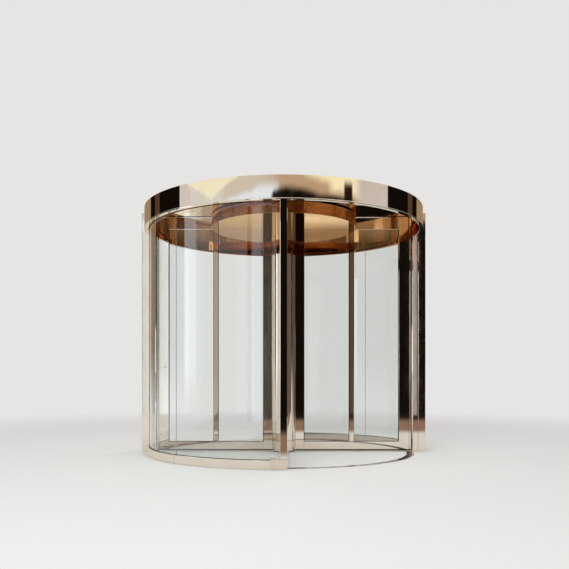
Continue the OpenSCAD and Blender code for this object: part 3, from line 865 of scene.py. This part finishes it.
# In front, cards in bands of light and dark for the posts and wings, and arched ones for the fascia
flag("flag_front_dark", level(0, 4.72, -5, 26), BLACK)
flag("flag_front_dark_top",
     arched(SEAM, (-10, 4.7), (-6, 4.98), (4, 5.07), (11, 5.04), (28, 4.86), (48, 4.78)),
     BLACK, reach=8.9, fade=(0.06, 0.45, 0))
flag("flag_tan_top", level(SEAM, 5.5, -17, -5, 8, 20), "#C6AC91", reach=9.2, fade=(0.45, 0, 0))
flag("flag_tan_top_right", arched(SEAM, (2, 5.7), (10, 5.6), (18, 5.46), (27, 5.35), (36, 5.3)),
     "#C6A98B", reach=9.25, fade=(0.2, 0.35, 0))
flag("flag_left_pale_top", level(SEAM, 5.6, -46, -37, -28, -18, -6),
     "#DBD4C9", reach=9.4, fade=(0.15, 0, 0))
flag("flag_left_grey", level(0, SEAM, -14, -8), "#B5A998")
flag("flag_left_bright", level(0, SEAM, -21.97, -16), "#E2EBF6", strength=1.75)
flag("flag_left_bright_edge", level(0, SEAM, -23.35, -21.97), "#E9EDEC")
flag("flag_left_dark_line", level(0, SEAM, -26, -23.35), "#2A1C12")
flag("flag_left_blue_arc",
     arched(SEAM, (-50, 4.67), (-43, 4.76), (-33, 4.87), (-23, 4.98), (-15, 5.13), (-8, 5.17), (-2, 5.17)),
     "#E3F0FE", strength=1.15, fade=(0.06, 0.45, 0))
flag("flag_left_cream_arc",
     [(-72.5, 5.2, 5.5), (-51.8, 4.79, 5.5), (-38, 5.13, 5.5), (-32, 5.22, 5.5)], "#FFFDE3")
flag("flag_left_grey_top", level(SEAM, 5.6, -82, -70), "#DEDBD8", reach=9.1)
flag("flag_left_far_bright", level(0, SEAM, -81, -67), "#EAF1FA", strength=2.2, fade=(0.15, 0, 0.3))
flag("flag_right_cream_arc", level(SEAM, 5.6, 14, 23, 32, 41, 50, 60),
     "#FFF3CC", strength=1.1, reach=9.5)
flag("flag_right_amber_arc", arched(SEAM, (22, 4.92), (31, 5.02), (40, 5.09), (48, 5.06), (58, 4.96)),
     "#7A3E18", reach=9.05, fade=(0.3, 0.8, 0))
flag("flag_right_dark_top", level(SEAM, 5.25, 41.5, 49.5), "#2A1C12", fade=(0.2, 0.35, 0))
flag("flag_right_dark_line", level(0, SEAM, 10.5, 12.2), "#5F4C3D", reach=8.5)
flag("flag_right_pale_line", level(0, SEAM, 21.75, 22.62), "#B5ABAA", reach=8.5)
flag("flag_right_brown", level(0, SEAM, 26, 53, 80), "#84746A", strength=0.6)
flag("flag_right_grey_top", level(SEAM, 5.6, 49, 59, 70, 82, 94),
     "#D7D2CE", reach=9.1, fade=(0.18, 0, 0))
# At both sides, a row of tall cards that runs round towards the back
side_cards = ((80.5, 106.5, 0, 7, BLACK), (106.5, 114.5, 0, 7, BROWN), (114.5, 124, 0, 7, BLACK),
              (124, 146, 0, 7, TAUPE), (146, 160, 0, 3.8, "#D8CDBA"), (146, 160, 3.8, 7, TAUPE),
              (160, 177, 3, 7, TAUPE))
for way, word in ((-1, "left"), (1, "right")):
    for k, (start, stop, low, high, colour) in enumerate(side_cards):
        ends = sorted((way * start, way * stop))
        stations = level(low, high, ends[0], sum(ends) / 2, ends[1])
        flag(f"flag_side_{word}_{k + 1}", stations, colour, fade=(0, 0, 0 if low else 0.25))
# Behind, low cards that the ceiling and the soffit mirror, with a dark one over them
flag("flag_back_right", level(0, 1.1, 154, 167, 180), "#B39F93", reach=12.0, fade=(0, 0.1, 0.45))
flag("flag_back_left", level(0, 1.1, 180, 191, 202), "#B7B5BE", reach=12.0, fade=(0, 0.1, 0.6))
flag("flag_back_bright", level(1.0, 2.5, 154, 170, 186, 202), "#FFFFFF", strength=1.2, reach=12.1)
flag("flag_back_dark_top", level(2.3, 5.2, 154, 170, 186, 202),
     "#5A4C42", reach=12.0, fade=(0, 0.1, 0.1))
# On the floor, boards in front for the lower steel, and one behind for the ceiling
board("flag_front_board", (-1.9, 10.0), (-9.0, -2.6), 0.002, "#937867", 1.0, (0.03, 0.15, 0))
board("flag_back_board", (0.2, 3.2), (14.6, 11.2), 0.002, "#EEF4FF", 1.7, (0.1, 0.3, 0.1))
board("flag_front_board_far", (-1.9, 10.0), (-9.0, -5.2), 0.004, "#1C1410", 1.0, (0.03, 0.5, 0))


def softbox(name, width, watts, place, aim):
    """A round lamp aimed at a point, which neither steel nor glass shows."""
    data = bpy.data.lights.new(name, "AREA")
    data.shape = "DISK"
    data.size = width
    data.energy = watts
    lamp = bpy.data.objects.new(name, data)
    lamp.location = place
    lamp.rotation_euler = (Vector(aim) - lamp.location).to_track_quat("-Z", "Y").to_euler()
    lamp.visible_glossy = False
    lamp.visible_transmission = False
    bpy.context.scene.collection.objects.link(lamp)
    return lamp


softbox("overhead_softbox", 6.0, 350, (-2.0, -9.0, 7.5), (0, 0, 1))
# This one hangs inside the drum, where the roof keeps the other's light away
inner = softbox("inner_softbox", 3.0, 55, (0, 0, 2.8), (0, 0, 0))
inner.visible_camera = False

eye_distance, eye_height = 9.0, 1.016
focal_px, frame_px, horizon_px, vanish_px = 684.0, 569.0, 374.0, 283.7
camera_data = bpy.data.cameras.new("camera")
camera_data.sensor_width = 36.0
camera_data.lens = focal_px / frame_px * camera_data.sensor_width
camera_data.shift_x = (frame_px / 2 - vanish_px) / frame_px
camera_data.shift_y = (horizon_px - frame_px / 2) / frame_px
camera = bpy.data.objects.new("camera", camera_data)
camera.location = (0, -eye_distance, eye_height)
camera.rotation_euler = (math.radians(90), 0, 0)
bpy.context.scene.collection.objects.link(camera)
bpy.context.scene.camera = camera

bpy.context.scene.view_settings.view_transform = "Standard"
cycles = bpy.context.scene.cycles
cycles.max_bounces = 24
cycles.glossy_bounces = 12
cycles.transmission_bounces = 24
cycles.transparent_max_bounces = 32
